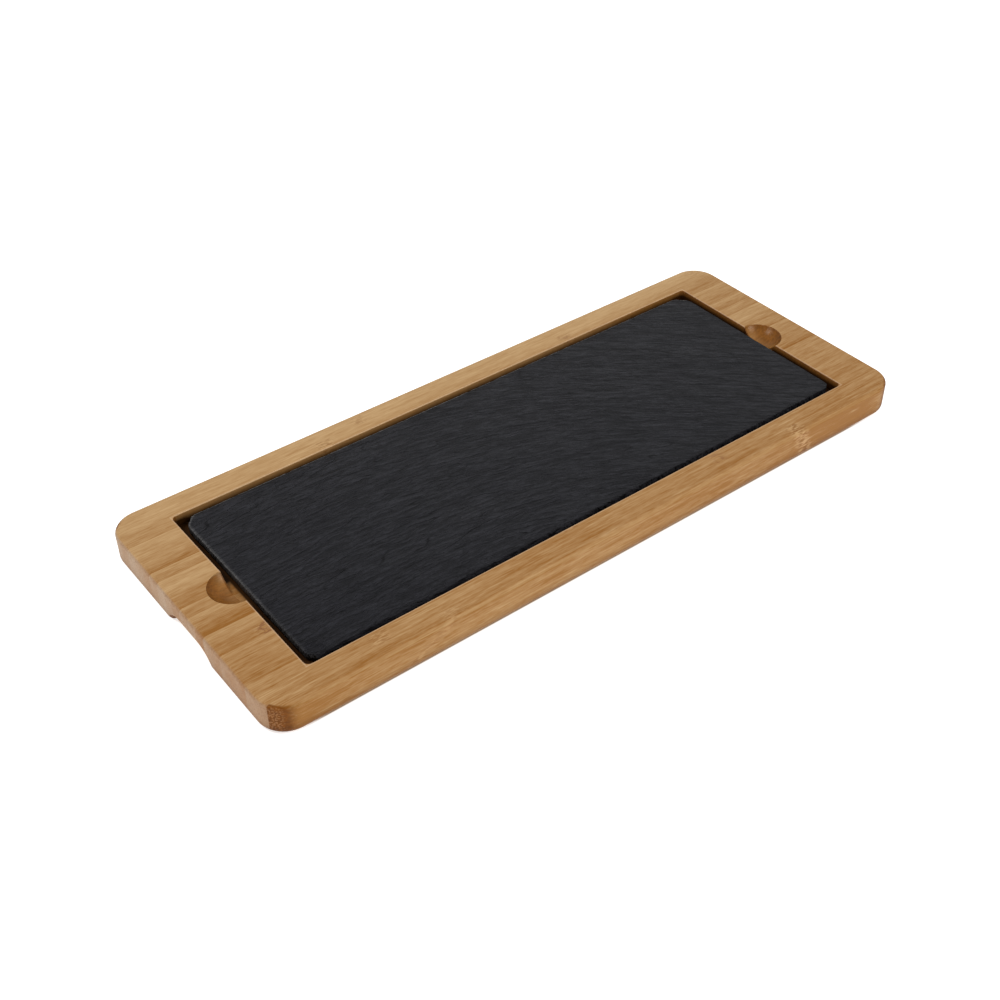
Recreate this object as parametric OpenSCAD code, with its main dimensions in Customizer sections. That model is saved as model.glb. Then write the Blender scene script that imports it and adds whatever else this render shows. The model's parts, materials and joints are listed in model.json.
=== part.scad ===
// Serving board: a removable slate slab in the recess of a laminated bamboo board.
//
// The bamboo board is glued up from full-length strips, which run along X. Each strip is
// a solid of its own, cut to the shape that it has after the board was milled: rounded
// outside edges, a level recess for the slate, a dished finger scoop at each end of the
// recess, and a grip groove under each end of the board. The slate lies loose in the
// recess on four thin foam pads, which are stuck to its underside.
//
// X runs along the board, Y from its front edge to its back edge, Z up.
// The origin is the middle of the underside.

/* [Board] */
// Length of the board, along its strips
board_l = 400; // [320:1:600]
// Width of the board, across its strips
board_w = 160; // [130:1:240]
// Thickness of the board
board_t = 18; // [16:0.5:30]
// Radius of the board's corners, seen from above
corner_r = 15; // [8:0.5:20]
// Rounding of the top edge
top_round = 2; // [0.5:0.25:3]
// Rounding of the bottom edge
bottom_round = 4; // [1:0.25:5]
// Width of one bamboo strip
strip_w = 7.5; // [6:0.25:15]

/* [Recess] */
// Width of the solid bamboo at each end of the recess
end_rail = 28; // [24:0.5:40]
// Width of the solid bamboo along each side of the recess
side_rail = 16.75; // [10:0.25:30]
// Depth of the recess
recess_depth = 7; // [6:0.25:9]
// Radius of the recess's corners, seen from above
recess_corner_r = 3; // [1:0.25:6]
// Rounding of the recess's upper edge
rim_round = 0.5; // [0.2:0.1:1]

/* [Finger scoops] */
// Radius of the ball that would just fill a scoop
scoop_ball_r = 15.3; // [12:0.1:30]
// Height of the lip that is left between a scoop and the floor of the recess
scoop_lip = 0.4; // [0.2:0.1:3]
// Offset of the scoops from the middle of the ends: the right one toward the front
// edge, the left one toward the back edge
scoop_shift = 1.6; // [0:0.1:6]

/* [Grip grooves] */
// Length of a groove's level roof, along the end of the board
grip_roof_l = 18; // [10:0.5:40]
// Height of the roof above the underside
grip_h = 6.4; // [4:0.1:8]
// Reach of a groove in from the end of the board
grip_reach = 18; // [12:0.5:24]
// Radius of the two ramps that run out to the underside
grip_ramp_r = 12; // [9:0.5:20]
// Offset of the grooves from the middle of the ends, toward the front edge
grip_shift = 3; // [0:0.5:6]
// Rounding of a groove's inner end
grip_nose_r = 5; // [2:0.25:6]

/* [Slate] */
// Gap between the slate and the recess at each end
slate_end_gap = 3.5; // [1:0.1:5]
// Gap between the slate and the recess along each side
slate_side_gap = 3.25; // [1:0.25:5]
// Thickness of the slate
slate_t = 5; // [4:0.25:7]
// Length that is clipped off each corner of the slate
slate_clip = 5; // [2:0.25:12]

/* [Pads] */
// Diameter of a foam pad
pad_d = 12; // [8:0.5:20]
// Thickness of a foam pad
pad_t = 1; // [0.5:0.1:1.5]
// Distance from the edge of the slate to the nearest edge of a pad
pad_inset = 12; // [6:0.5:25]

/* [Hidden] */
// Facets of the preview
$fn = 96;
// Length by which every cut runs past the face that it opens
overrun = 1;
// Narrowest strip that is left at the back edge, as a share of a full strip
trimmed_strip_share = 0.3;
// Tone of each strip from the front edge, as a share of the way from light to dark
tone_share = [0.45, 0.35, 0.4, 0.7, 0.5, 0.35, 0.45, 0.3, 1, 0.2, 0.25,
              0.8, 0.4, 0.15, 0.45, 0.75, 0.5, 0.35, 0.6, 0.3, 0.2, 0.3];
// Colour shares of the palest and of the darkest strip
light_color_share = [0.80, 0.65, 0.44];
dark_color_share = [0.62, 0.43, 0.23];

// Recess, seen from above, and the height of its floor
recess_l = board_l - 2 * end_rail;
recess_w = board_w - 2 * side_rail;
recess_floor = board_t - recess_depth;

// Slate, seen from above, and the height of its underside
slate_l = recess_l - 2 * slate_end_gap;
slate_w = recess_w - 2 * slate_side_gap;
slate_z = recess_floor + pad_t;

// Places of the pads, measured from the middle of the slate
pad_x = slate_l / 2 - pad_inset - pad_d / 2;
pad_y = slate_w / 2 - pad_inset - pad_d / 2;

// Number of strips: the last one takes what is left of the width
strip_count = floor(board_w / strip_w + 1 - trimmed_strip_share);

// Name of a strip, counted from the front edge
function strip_name(i) = str("strip_", i < 10 ? "0" : "", i);

// Places its children at both ends of the board, the second time mirrored
module both_ends() {
    children();
    mirror([1, 0, 0]) children();
}

// Plate of rounded outline: a rectangle with quarter circles for corners
module rounded_rect(l, w, r) {
    square([l - 2 * r, w], center = true);
    square([l, w - 2 * r], center = true);
    for (sx = [-1, 1], sy = [-1, 1])
        translate([sx * (l / 2 - r), sy * (w / 2 - r)])
            circle(r);
}

// Half of the board's cross-section, from its middle out to an edge at distance w
module edge_section(w) {
    square([w - bottom_round, board_t]);
    translate([0, bottom_round])
        square([w - top_round, board_t - bottom_round]);
    translate([0, bottom_round])
        square([w, board_t - bottom_round - top_round]);
    intersection() {
        translate([w - bottom_round, bottom_round])
            circle(bottom_round);
        square([w, board_t]);
    }
    intersection() {
        translate([w - top_round, board_t - top_round])
            circle(top_round);
        square([w, board_t]);
    }
}

// Whole cross-section, with an edge at both sides
module plate_section(w) {
    edge_section(w);
    mirror([1, 0]) edge_section(w);
}

// Board before the milling: every outside edge rounded, also around the corners
module blank() {
    straight_l = board_l - 2 * corner_r;
    straight_w = board_w - 2 * corner_r;
    rotate([90, 0, 90])
        linear_extrude(straight_l, center = true)
            plate_section(board_w / 2);
    rotate([90, 0, 0])
        linear_extrude(straight_w, center = true)
            plate_section(board_l / 2);
    for (sx = [-1, 1], sy = [-1, 1])
        translate([sx * straight_l / 2, sy * straight_w / 2, 0])
            rotate_extrude()
                edge_section(corner_r);
}

// What a rounded edge takes off: the square corner outside its quarter circle
module edge_waste(r) {
    difference() {
        square(r);
        translate([r, 0]) circle(r);
    }
}

// Waste of the recess's rounded rim along a straight side of length l
module rim_side(l) {
    rotate([90, 0, 0])
        linear_extrude(l, center = true)
            translate([0, board_t - rim_round])
                edge_waste(rim_round);
}

// Waste of the rounded rim around one corner of the recess
module rim_corner() {
    rotate_extrude()
        translate([recess_corner_r, board_t - rim_round])
            edge_waste(rim_round);
}

// Recess for the slate, with its rim rounded over
module recess() {
    straight_l = recess_l - 2 * recess_corner_r;
    straight_w = recess_w - 2 * recess_corner_r;
    translate([0, 0, recess_floor])
        linear_extrude(recess_depth + overrun)
            rounded_rect(recess_l, recess_w, recess_corner_r);
    for (side = [0, 180]) {
        rotate([0, 0, side])
            translate([recess_l / 2, 0, 0])
                rim_side(straight_w);
        rotate([0, 0, side])
            translate([0, recess_w / 2, 0])
                rotate([0, 0, 90])
                    rim_side(straight_l);
    }
    for (sx = [-1, 1], sy = [-1, 1])
        translate([sx * straight_l / 2, sy * straight_w / 2, 0])
            rim_corner();
}

// Dished scoop in an end rail, its lowest point at the end wall of the recess
module scoop() {
    translate([recess_l / 2, -scoop_shift, recess_floor + scoop_lip + scoop_ball_r])
        sphere(scoop_ball_r);
}

// Outline of a groove in the plane along the board: inward from the end face, and up
// from the ramps' axis. Its mouth is rounded like the bottom edge of the board.
module grip_section() {
    translate([-overrun, 0])
        square([grip_reach - grip_nose_r + overrun, grip_ramp_r]);
    square([grip_reach, grip_ramp_r - grip_nose_r]);
    translate([grip_reach - grip_nose_r, grip_ramp_r - grip_nose_r])
        circle(grip_nose_r);
    translate([0, grip_ramp_r])
        mirror([0, 1])
            translate([0, -bottom_round])
                edge_waste(bottom_round);
    translate([-overrun, 0])
        square([overrun, grip_ramp_r + bottom_round]);
}

// Grip groove under the end of the board, between two ramps that are arcs
module grip() {
    translate([board_l / 2, -grip_shift, grip_h - grip_ramp_r])
        mirror([1, 0, 0]) {
            rotate([90, 0, 0])
                linear_extrude(grip_roof_l, center = true)
                    grip_section();
            for (side = [-1, 1])
                translate([0, side * grip_roof_l / 2, 0])
                    rotate([0, 90, 0])
                        rotate_extrude()
                            mirror([1, -1])
                                grip_section();
        }
}

// Board after the milling, in one piece
module milled_board() {
    difference() {
        blank();
        recess();
        for (turn = [0, 180])
            rotate([0, 0, turn]) scoop();
        both_ends() grip();
    }
}

// Space of one strip. The first and the last one run on past the edge of the board.
module strip_space(i) {
    first = i == 1;
    last = i == strip_count;
    front = (i - 1) * strip_w - board_w / 2 - (first ? overrun : 0);
    back = last ? board_w / 2 + overrun : i * strip_w - board_w / 2;
    translate([-board_l / 2 - overrun, front, -overrun])
        cube([board_l + 2 * overrun, back - front, board_t + 2 * overrun]);
}

// Colour of a strip between the palest and the darkest
function strip_color(i) =
    let (share = tone_share[(i - 1) % len(tone_share)])
    light_color_share * (1 - share) + dark_color_share * share;

// One bamboo strip of the board, counted from the front edge
module strip(i) {
    color(strip_color(i))
        intersection() {
            milled_board();
            strip_space(i);
        }
}

// Slate slab with clipped corners, at rest on its pads
module slate_slab() {
    x = slate_l / 2;
    y = slate_w / 2;
    c = slate_clip;
    color([0.18, 0.18, 0.20])
        translate([0, 0, slate_z])
            linear_extrude(slate_t)
                polygon([
                    [x, y - c], [x - c, y], [c - x, y], [-x, y - c],
                    [-x, c - y], [c - x, -y], [x - c, -y], [x, c - y]
                ]);
}

// Foam pad under the slate, in the quarter that sx and sy point to
module pad(sx, sy) {
    color([0.12, 0.12, 0.12])
        translate([sx * pad_x, sy * pad_y, recess_floor])
            cylinder(h = pad_t, d = pad_d);
}

module pad_front_left() { pad(-1, -1); }
module pad_front_right() { pad(1, -1); }
module pad_back_left() { pad(-1, 1); }
module pad_back_right() { pad(1, 1); }

for (i = [1:strip_count])
    strip(i);
slate_slab();
pad_front_left();
pad_front_right();
pad_back_left();
pad_back_right();
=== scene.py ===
# Slate serving board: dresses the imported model.
#
# The bamboo strips keep their own shapes and get a finish each. The slate slab and its
# foam pads are modelled here, in place of their plain solids. Lengths are in metres where
# a comment doesn't say mm. X runs along the board, Y from its front edge to its back edge,
# and Z up.
import json
import math
import random

import bmesh
import bpy
from bpy.props import FloatProperty, FloatVectorProperty, IntProperty, PointerProperty
from mathutils import Euler, Matrix, Vector, noise

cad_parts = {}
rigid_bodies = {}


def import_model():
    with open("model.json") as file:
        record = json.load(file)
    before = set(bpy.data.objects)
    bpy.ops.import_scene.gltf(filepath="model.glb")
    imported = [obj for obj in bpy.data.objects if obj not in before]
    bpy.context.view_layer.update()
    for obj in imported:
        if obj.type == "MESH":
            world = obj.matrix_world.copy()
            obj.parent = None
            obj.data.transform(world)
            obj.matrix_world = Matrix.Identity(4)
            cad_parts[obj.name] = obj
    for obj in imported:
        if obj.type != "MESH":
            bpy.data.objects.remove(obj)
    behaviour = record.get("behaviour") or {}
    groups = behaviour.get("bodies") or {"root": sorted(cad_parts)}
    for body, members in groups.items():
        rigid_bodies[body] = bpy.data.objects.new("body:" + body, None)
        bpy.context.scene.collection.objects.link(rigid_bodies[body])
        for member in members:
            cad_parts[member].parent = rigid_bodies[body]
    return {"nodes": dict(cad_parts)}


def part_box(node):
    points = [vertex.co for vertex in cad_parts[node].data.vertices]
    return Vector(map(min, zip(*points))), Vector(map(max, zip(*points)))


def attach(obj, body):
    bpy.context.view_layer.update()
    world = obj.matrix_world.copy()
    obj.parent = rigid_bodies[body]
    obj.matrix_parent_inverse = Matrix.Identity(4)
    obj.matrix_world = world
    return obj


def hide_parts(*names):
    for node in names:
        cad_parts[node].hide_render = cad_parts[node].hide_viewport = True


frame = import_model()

bl_info = {
    "name": "Slate serving board",
    "version": (1, 0, 0),
    "blender": (4, 5, 0),
    "location": "View3D > Sidebar > Serving Board",
    "description": "Finishes a bamboo serving board and models its riven slate slab and foam pads",
    "category": "Object",
}

MM = 0.001

# Strips of the board, in order from its front edge
STRIPS = sorted(name for name in frame["nodes"] if name.startswith("strip_"))
PADS = ("pad_front_left", "pad_front_right", "pad_back_left", "pad_back_right")

# Half the board's length and width, and the height of its top
BOARD_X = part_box("strip_11")[1][0]
BOARD_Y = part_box(STRIPS[-1])[1][1]
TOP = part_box("strip_11")[1][2]

# Half the recess's length and width, which leave a gap round the slate, and the height
# of its floor, on which the pads stand
RECESS_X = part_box("slate_slab")[1][0] + 3.5 * MM
RECESS_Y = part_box("slate_slab")[1][1] + 3.25 * MM
RECESS_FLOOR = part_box(PADS[0])[0][2]

# How far the scoops are off the middle: the right one to the front, the left one to the back
SCOOP_SHIFT = 1.6 * MM

# How dark each strip is, from the front edge: 0 is the palest bamboo, 1 the darkest
STRIP_SHADE = (0.65, 0.60, 0.53, 0.68, 0.60, 0.55, 0.62, 0.48, 0.73, 0.50, 0.43,
               0.59, 0.46, 0.25, 0.46, 0.55, 0.44, 0.30, 0.49, 0.31, 0.17, 0.13)

# How much darker a strip is at its front side than at its back side
STRIP_LEAN = (0.06, 0.10, 0.18, 0.10, 0.06, 0.14, 0.10, 0.08, 0.34, 0.10, 0.16,
              0.14, 0.34, 0.04, 0.22, 0.34, 0.12, 0.08, 0.12, 0.18, 0.08, 0.10)

# How much darker a strip is at its right end than at its left end
STRIP_DRIFT = (0.00, 0.00, 0.00, -0.05, -0.10, 0.05, -0.16, -0.04, -0.12, 0.17, -0.10,
               -0.15, 0.05, -0.05, 0.00, -0.08, 0.15, 0.08, 0.07, 0.00, -0.18, -0.10)

# What the bamboo's colour is multiplied by: on the long sides, greyer and partly as painted
# shade; along the lower edges, as painted shade; at the flat ends of dark strips; on a scoop's
# rim, as painted shade; at its bottom; and in the angle between it and the recess, as painted
# shade
SIDE_GREY_AND_SHADE = (0.965, 1.0, 0.99)
LOWER_EDGE_SHADE = (0.76, 0.72, 0.68)
DARK_END_TINT = (0.80, 0.60, 0.42)
SCOOP_RIM_SHADE = (0.84, 0.80, 0.72)
SCOOP_BOTTOM_TINT = (0.78, 0.72, 0.64)
SCOOP_ANGLE_SHADE = (0.50, 0.42, 0.30)

# Strips that lie wholly in the front rail, where the growth layers show most
FRONT_RAIL = (1, 2)

# Knuckles of the bamboo that show on the rails, by strip: place along X in mm, slant in
# mm along X for each mm of height, half length in mm, how much it differs from the rest,
# and how red and speckled it is
RAIL_KNUCKLES = {
    1: ((-113, 1.7, 9, 0.24, 0.1), (125, -0.4, 8, 0.50, 0.0)),
    2: ((-137, 0.0, 9, 0.34, 0.0), (73, 0.0, 6, 0.45, 0.9)),
    7: ((-175, 0.0, 7, 0.60, 1.0),),
    21: ((-55, 0.0, 6, 0.35, 0.2), (190, 0.0, 6, 0.35, 0.3)),
    22: ((30, 0.0, 6, 0.35, 0.2),),
}


# Sizes and colours


class BambooFinish(bpy.types.PropertyGroup):
    """Colours and grain of the bamboo."""
    pale: FloatVectorProperty(
        name="Pale Bamboo", description="Colour of the palest strip",
        subtype="COLOR", size=3, min=0, max=1, default=(0.528, 0.341, 0.166))
    dark: FloatVectorProperty(
        name="Dark Bamboo", description="Colour of the darkest strip",
        subtype="COLOR", size=3, min=0, max=1, default=(0.255, 0.096, 0.011))
    cut_end: FloatVectorProperty(
        name="Open End Grain", description="Colour where a cutter went across the fibres",
        subtype="COLOR", size=3, min=0, max=1, default=(0.148, 0.044, 0.002))
    bundle_end: FloatVectorProperty(
        name="Fibre Ends", description="Colour of the ends of the fibre bundles",
        subtype="COLOR", size=3, min=0, max=1, default=(0.265, 0.113, 0.036))
    # Partly painted shade: dark colour of the recess and the scoops, which the cutter burnished
    burnished_and_shade: FloatVectorProperty(
        name="Burnished", description="Colour of the recess, as the cutter left it",
        subtype="COLOR", size=3, min=0, max=1, default=(0.252, 0.103, 0.022))
    # Painted highlight: pale colour of the rounded rim of the recess
    highlighted: FloatVectorProperty(
        name="Rubbed Rim", description="Colour of the rim of the recess, which is rubbed pale",
        subtype="COLOR", size=3, min=0, max=1, default=(0.60, 0.42, 0.27))
    # Partly a painted sheen: pale colour of the two flat, sanded ends
    sanded_end_and_sheen: FloatVectorProperty(
        name="Sanded End Grain", description="Colour of the two flat ends of the board",
        subtype="COLOR", size=3, min=0, max=1, default=(0.428, 0.300, 0.200))
    knuckle: FloatVectorProperty(
        name="Knuckle", description="Colour of the dense wood in a knuckle",
        subtype="COLOR", size=3, min=0, max=1, default=(0.190, 0.070, 0.015))
    speckle: FloatVectorProperty(
        name="Speckle", description="Colour of the red speckles in some knuckles",
        subtype="COLOR", size=3, min=0, max=1, default=(0.190, 0.070, 0.030))
    # Painted shade: dark colour that stands for the shade in the narrow gap round the slate
    gap_shade: FloatVectorProperty(
        name="Grime", description="Colour of crumbs and oil in the gap round the slate",
        subtype="COLOR", size=3, min=0, max=1, default=(0.0222, 0.0066, 0.0003))
    fibre_length: FloatProperty(
        name="Fibre Length", description="Typical length of a streak along the strip",
        unit="LENGTH", min=0.004, max=0.2, default=0.009)
    fibre_width: FloatProperty(
        name="Fibre Width", description="Typical width of a fibre bundle",
        unit="LENGTH", min=0.0002, max=0.002, default=0.0006)
    # Partly painted shade: how far the recess and the scoops take on that colour
    milled_and_shade: FloatProperty(
        name="Milled Shade", description="How far the recess and the scoops are darkened",
        subtype="FACTOR", min=0, max=1, default=0.8)
    roughness: FloatProperty(
        name="Roughness", description="Roughness of the oiled faces",
        subtype="FACTOR", min=0, max=1, default=0.50)
    polish: FloatProperty(
        name="Scoop Roughness", description="Roughness of the scoops, which fingers have polished",
        subtype="FACTOR", min=0, max=1, default=0.26)


class SlateShape(bpy.types.PropertyGroup):
    """Relief, edges and colours of the slate."""
    cell: FloatProperty(
        name="Cell", description="Spacing of the points of the riven face along the slab",
        unit="LENGTH", min=0.0006, max=0.004, default=0.001)
    relief: FloatProperty(
        name="Relief", description="Depth of the riven face below its highest point",
        unit="LENGTH", min=0, max=0.001, default=0.0005)
    edge_wander: FloatProperty(
        name="Edge Wander", description="How far the broken edges wander inward",
        unit="LENGTH", min=0, max=0.002, default=0.0007)
    chip: FloatProperty(
        name="Chips", description="Width of the largest chips along the upper edge",
        unit="LENGTH", min=0, max=0.004, default=0.0014)
    color: FloatVectorProperty(
        name="Slate", description="Colour of the riven face",
        subtype="COLOR", size=3, min=0, max=1, default=(0.0157, 0.0158, 0.0197))
    # Painted sheen: lighter colour towards the back right corner of the face
    painted_sheen: FloatVectorProperty(
        name="Bloom", description="Colour towards the back right corner, where it is duller",
        subtype="COLOR", size=3, min=0, max=1, default=(0.0350, 0.0350, 0.0390))
    fresh: FloatVectorProperty(
        name="Fresh Break", description="Colour of freshly broken slate",
        subtype="COLOR", size=3, min=0, max=1, default=(0.30, 0.29, 0.28))
    roughness: FloatProperty(
        name="Roughness", description="Roughness of the riven face",
        subtype="FACTOR", min=0, max=1, default=0.62)


class PadShape(bpy.types.PropertyGroup):
    """Foam pads under the slate."""
    segments: IntProperty(
        name="Segments", description="Sides of a round pad", min=16, max=128, default=64)
    edge: FloatProperty(
        name="Edge Rounding", description="Rounding of a pad's rims",
        unit="LENGTH", min=0, max=0.0004, default=0.0002)
    bulge: FloatProperty(
        name="Bulge", description="How far the slate's weight presses a pad's side outward",
        unit="LENGTH", min=0, max=0.0001, default=0.00009)
    color: FloatVectorProperty(
        name="Foam", description="Colour of the closed-cell foam",
        subtype="COLOR", size=3, min=0, max=1, default=(0.018, 0.018, 0.019))


class StageSetup(bpy.types.PropertyGroup):
    """Floor, lights and camera."""
    floor_size: FloatProperty(
        name="Floor Size", description="Side of the square floor",
        unit="LENGTH", min=1, max=40, default=12)
    clearance: FloatProperty(
        name="Clearance", description="How far the floor lies below the board's underside",
        unit="LENGTH", min=0, max=0.001, default=0.0001)
    floor_color: FloatVectorProperty(
        name="Floor", description="Colour of the floor",
        subtype="COLOR", size=3, min=0, max=1, default=(0.86, 0.86, 0.86))
    shade_color: FloatVectorProperty(
        name="Contact Shade", description="Colour of the floor under the board's front edge",
        subtype="COLOR", size=3, min=0, max=1, default=(0.50, 0.37, 0.25))
    floor_glow: FloatProperty(
        name="Floor Glow", description="Light that the floor gives off by itself",
        min=0, max=2, default=0.60)
    sky: FloatProperty(
        name="Sky", description="Strength of the even light from all around",
        min=0, max=3, default=0.47)
    back: FloatProperty(
        name="Back Light", description="Power of the soft light beyond the board's left end",
        unit="POWER", min=0, max=200, default=11)
    front: FloatProperty(
        name="Front Light", description="Power of the soft light in front",
        unit="POWER", min=0, max=200, default=12.5)
    lens: FloatProperty(
        name="Lens", description="Focal length of the camera",
        unit="CAMERA", min=20, max=200, default=50.674)
    eye: FloatVectorProperty(
        name="Camera Place", description="Where the camera stands",
        subtype="TRANSLATION", unit="LENGTH", size=3, default=(-0.36336, -0.45469, 0.46750))
    heading: FloatProperty(
        name="Heading", description="Turn of the camera about the upright axis",
        unit="ROTATION", default=math.radians(-37.334))
    tilt: FloatProperty(
        name="Tilt", description="Angle at which the camera looks down",
        unit="ROTATION", default=math.radians(39.815))
    roll: FloatProperty(
        name="Roll", description="Turn of the camera about its own line of sight",
        unit="ROTATION", default=math.radians(-0.524))


# Building blocks of the materials


def feed(tree, socket, value):
    """Links a socket to another one, or sets its number or colour."""
    if isinstance(value, bpy.types.NodeSocket):
        tree.links.new(value, socket)
    elif socket.type == "RGBA" and len(value) == 3:
        socket.default_value = (*value, 1)
    else:
        socket.default_value = value


def add_node(tree, kind, inputs=None, **options):
    """Adds a node with its options and inputs."""
    node = tree.nodes.new(kind)
    for key, value in options.items():
        setattr(node, key, value)
    for socket, value in (inputs or {}).items():
        feed(tree, node.inputs[socket], value)
    return node


def calc(tree, operation, *values, clamp=False):
    """Result of a sum on numbers."""
    node = add_node(tree, "ShaderNodeMath", dict(enumerate(values)),
                    operation=operation, use_clamp=clamp)
    return node.outputs[0]


def ease(tree, value, start, end, low=0.0, high=1.0):
    """Number that goes smoothly from low to high while value goes from start to end."""
    node = add_node(tree, "ShaderNodeMapRange",
                    {"Value": value, "From Min": start, "From Max": end,
                     "To Min": low, "To Max": high},
                    interpolation_type="SMOOTHSTEP")
    return node.outputs["Result"]


def product(tree, first, *others):
    """Product of several numbers."""
    for other in others:
        first = calc(tree, "MULTIPLY", first, other)
    return first


def vary(tree, base, pattern, amount):
    """Base, raised and lowered by a pattern whose mean is a half."""
    return calc(tree, "MULTIPLY_ADD", calc(tree, "SUBTRACT", pattern, 0.5), amount, base)


def toned(color, factor):
    """Colour made darker or lighter by a factor."""
    return tuple(factor * part for part in color)


def blend(tree, share, first, second, mode="MIX"):
    """Colour between the first and the second one."""
    node = add_node(tree, "ShaderNodeMix", {0: share, 6: first, 7: second},
                    data_type="RGBA", blend_type=mode)
    return node.outputs[2]


def stretched(tree, vector, length, width, height, shift=(0, 0, 0)):
    """Coordinates in which one unit is length by width by height."""
    node = add_node(tree, "ShaderNodeMapping",
                    {"Vector": vector, "Location": shift,
                     "Scale": (1 / length, 1 / width, 1 / height)})
    return node.outputs["Vector"]


def cloud(tree, vector, detail=2.0, roughness=0.5):
    """Soft noise, from 0 to 1."""
    node = add_node(tree, "ShaderNodeTexNoise",
                    {"Vector": vector, "Scale": 1.0, "Detail": detail, "Roughness": roughness})
    return node.outputs["Fac"]


def spots(tree, vector):
    """Distance to the nearest of many scattered points."""
    return add_node(tree, "ShaderNodeTexVoronoi",
                    {"Vector": vector, "Scale": 1.0}).outputs["Distance"]


def raise_surface(tree, height, depth):
    """Normal of a surface whose relief is height times depth, in metres."""
    node = add_node(tree, "ShaderNodeBump",
                    {"Height": height, "Strength": 1.0, "Distance": depth})
    return node.outputs["Normal"]


def new_finish(name):
    """New material, with its node tree and its shader."""
    material = bpy.data.materials.new(name)
    material.use_nodes = True
    tree = material.node_tree
    shader = tree.nodes["Principled BSDF"]
    return material, tree, shader


def dress(obj, material):
    """Gives an object this one material in all its slots."""
    if not obj.material_slots:
        obj.data.materials.append(material)
    for slot in obj.material_slots:
        slot.material = material


# Bamboo


def knuckle_places(strip):
    """Each of a strip's knuckles, described as in RAIL_KNUCKLES."""
    if strip in RAIL_KNUCKLES:
        return RAIL_KNUCKLES[strip]
    pick = random.Random(100 + strip)
    first = pick.uniform(-145, -20)
    return ((first, 0.0, 7, 0.5, pick.random()),
            (first + pick.uniform(130, 165), 0.0, 7, 0.5, pick.random()))


class StripNodes:
    """Node tree of one strip's finish, with the places, directions and patterns that its
    parts share."""

    def __init__(self, tree, strip, front, width, look):
        pick = random.Random(strip)
        self.tree = tree
        self.shift = tuple(pick.uniform(-50, 50) for _ in range(3))
        place = add_node(tree, "ShaderNodeTexCoord")
        self.point = place.outputs["Object"]
        spot = add_node(tree, "ShaderNodeSeparateXYZ", {"Vector": self.point})
        side = add_node(tree, "ShaderNodeSeparateXYZ", {"Vector": place.outputs["Normal"]})
        self.x, self.y, self.z = (spot.outputs[axis] for axis in "XYZ")
        self.upright = side.outputs["Z"]

        # Distance from the middle of the board, along it and across it
        self.reach = calc(tree, "ABSOLUTE", self.x)
        self.wide = calc(tree, "ABSOLUTE", self.y)

        # How squarely a face crosses the fibres, and whether it is a long side
        self.slope = calc(tree, "ABSOLUTE", side.outputs["X"])
        self.flank = ease(tree, calc(tree, "ABSOLUTE", side.outputs["Y"]), 0.3, 0.8)

        # The fibres are packed more closely towards the side that was the stem's outside,
        # so each strip is darker at its front side and pales towards its back side
        self.across = calc(tree, "DIVIDE", calc(tree, "SUBTRACT", self.y, front), width)
        self.lean = calc(tree, "MULTIPLY", calc(tree, "SUBTRACT", 0.5, self.across),
                         STRIP_LEAN[strip - 1])
        self.lean = calc(tree, "MULTIPLY_ADD", self.x,
                         STRIP_DRIFT[strip - 1] / (1.9 * BOARD_X), self.lean)

        # Slow changes of tone, fibres, the veins between them, and mottled cut wood
        length, thick = look.fibre_length, look.fibre_width
        self.slow = self.noise(90 * MM, 6 * MM, 12 * MM)
        self.fibre = self.noise(length, thick, thick, 2.0, 0.6)
        self.vein = ease(tree, self.dots(1.4 * length, 1.5 * thick, 1.5 * thick), 0.34, 0.12)
        self.mottle = self.noise(3 * MM, 1.5 * MM, 1.5 * MM, 3.0, 0.6)

        # Whether a point is in the recess or in a scoop, and whether it is in a scoop: no
        # other face lies in this block under the top and over the recess's floor
        self.inside = product(
            tree, ease(tree, self.reach, RECESS_X + 16.5 * MM, RECESS_X + 15.5 * MM),
            ease(tree, self.wide, RECESS_Y + 3.95 * MM, RECESS_Y + 3.15 * MM),
            ease(tree, self.z, TOP - 0.15 * MM, TOP - 0.55 * MM),
            ease(tree, self.z, RECESS_FLOOR - 2 * MM, RECESS_FLOOR - 0.5 * MM))
        self.scoop = calc(tree, "MULTIPLY", self.inside,
                          ease(tree, self.reach, RECESS_X + 0.1 * MM, RECESS_X + 0.5 * MM))

    def noise(self, length, width, height, detail=2.0, roughness=0.5):
        """Soft noise in lumps of this size, which differs from strip to strip."""
        lumps = stretched(self.tree, self.point, length, width, height, self.shift)
        return cloud(self.tree, lumps, detail, roughness)

    def dots(self, length, width, height):
        """Distance to the nearest of many points at about this spacing."""
        cells = stretched(self.tree, self.point, length, width, height, self.shift)
        return spots(self.tree, cells)


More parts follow.
